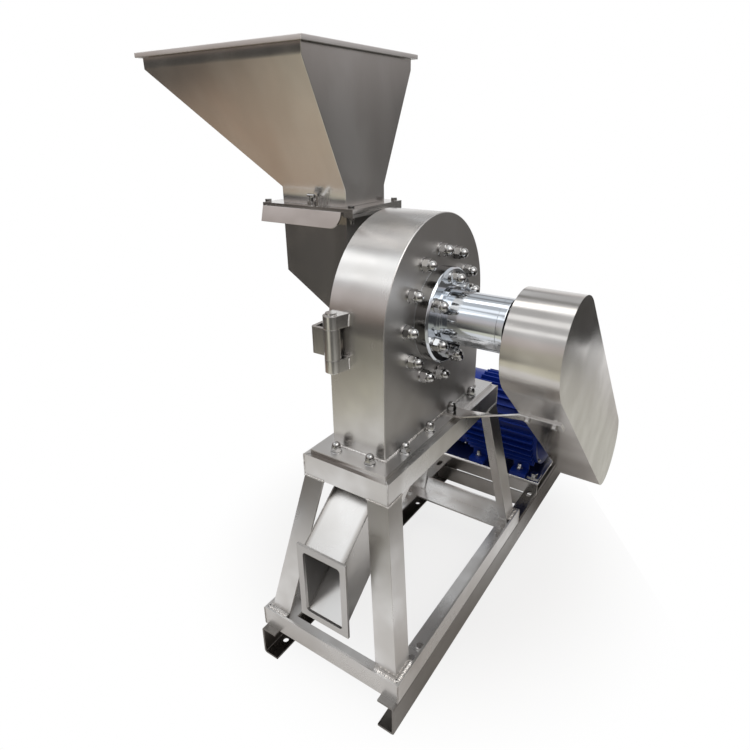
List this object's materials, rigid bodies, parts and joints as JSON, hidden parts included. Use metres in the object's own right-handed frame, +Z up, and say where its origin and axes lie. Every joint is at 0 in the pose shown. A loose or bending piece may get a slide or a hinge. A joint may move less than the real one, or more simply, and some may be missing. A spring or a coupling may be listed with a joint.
{
  "type": "universal grinding mill",
  "caption": "Stainless pin mill on a welded stand: offset hopper with slide gate feeds a hinged door, a belt-driven rotor grinds, and a sloping duct delivers powder.",
  "frame": {"origin": "on the floor below the main shaft, midway between the skids, at the centre of the four anchor holes under the stand", "axes": "+X along the main shaft towards its pulley, +Y back to the motor, +Z up"},
  "size_m": [0.9165, 1.103, 1.2881],
  "materials": {
    "stainless": "brushed",
    "polished_steel": "polished",
    "fasteners": "bright",
    "machined_steel": "turned",
    "cast_iron": "cast",
    "rubber": "matte",
    "motor_paint": "satin",
    "black_plastic": "matte"
  },
  "bodies": {
    "stand": {"skid_left": "stainless", "skid_right": "stainless", "skid_ties": "stainless", "base_frame": "stainless", "stand_legs": "stainless", "top_frame": "stainless", "stand_bolts": "fasteners", "housing_shell": "stainless", "back_plate": "stainless", "back_liner": "machined_steel", "screen_ring": "machined_steel", "base_cap_nuts": "fasteners", "liner_cap_nuts": "fasteners", "bearing_housing": "polished_steel", "bearing_cover": "polished_steel", "shaft_seal": "rubber", "bearing_outer_rings": "machined_steel", "bearing_flange_nuts": "fasteners", "discharge_duct": "stainless", "outlet_flange": "stainless", "hinge_lugs": "stainless", "hinge_pin": "machined_steel", "belt_guard": "stainless", "guard_strap": "stainless", "guard_bolts": "fasteners", "v_belts": "rubber"},
    "rotor": {"main_shaft": "machined_steel", "bearing_inner_rings": "machined_steel", "rotor_disc": "machined_steel", "rotor_teeth": "machined_steel", "shaft_nuts": "fasteners", "shaft_pulley": "cast_iron", "shaft_keys": "machined_steel"},
    "door": {"door_plate": "stainless", "door_seal": "rubber", "door_hinge_leaf": "stainless", "stator_disc": "machined_steel", "stator_teeth": "machined_steel", "feed_chute": "stainless", "gate_guides": "stainless", "hopper": "stainless", "hopper_flange": "stainless", "gate_frame_bolts": "fasteners"},
    "gate": {"feed_gate": "stainless"},
    "gate_screw": {"gate_clamp_screw": "fasteners"},
    "knob_upper": {"door_knob_upper": "black_plastic"},
    "knob_lower": {"door_knob_lower": "black_plastic"},
    "motor": {"motor_plate": "stainless", "motor_frame": "motor_paint", "motor_end_shields": "motor_paint", "motor_fan_cover": "motor_paint", "terminal_box": "motor_paint", "cable_gland": "black_plastic", "motor_stator": "cast_iron", "motor_bolts": "fasteners"},
    "motor_spindle": {"motor_rotor": "machined_steel", "motor_fan": "black_plastic", "motor_pulley": "cast_iron"}
  },
  "joints": [
    {"name": "door_swing", "type": "hinge", "parent": "stand", "child": "door", "pos_m": [-0.038, -0.231, 0.763], "axis": [0, 0, 1], "range_deg": [0, 105]},
    {"name": "gate_slide", "type": "slide", "parent": "door", "child": "gate", "axis": [0, -1, 0], "range_m": [0, 0.14]},
    {"name": "gate_screw_turn", "type": "hinge", "parent": "door", "child": "gate_screw", "pos_m": [-0.2, -0.081, 1], "axis": [0, 0, 1], "continuous": true},
    {"name": "knob_upper_turn", "type": "hinge", "parent": "door", "child": "knob_upper", "pos_m": [-0.09, 0.233, 0.872], "axis": [1, 0, 0], "continuous": true},
    {"name": "knob_lower_turn", "type": "hinge", "parent": "door", "child": "knob_lower", "pos_m": [-0.09, 0.233, 0.682], "axis": [1, 0, 0], "continuous": true},
    {"name": "motor_tension", "type": "slide", "parent": "stand", "child": "motor", "axis": [0, 1, 0], "range_m": [-0.012, 0.01], "deforming": ["v_belts"]},
    {"name": "motor_spin", "type": "hinge", "parent": "motor", "child": "motor_spindle", "pos_m": [0.1, 0.588, 0.253], "axis": [1, 0, 0], "continuous": true},
    {"name": "rotor_spin", "type": "hinge", "parent": "stand", "child": "rotor", "pos_m": [0.15, 0, 0.777], "axis": [1, 0, 0], "continuous": true}
  ],
  "couplings": [
    {"joint": "rotor_spin", "follows": "motor_spin", "ratio": 1.28}
  ]
}
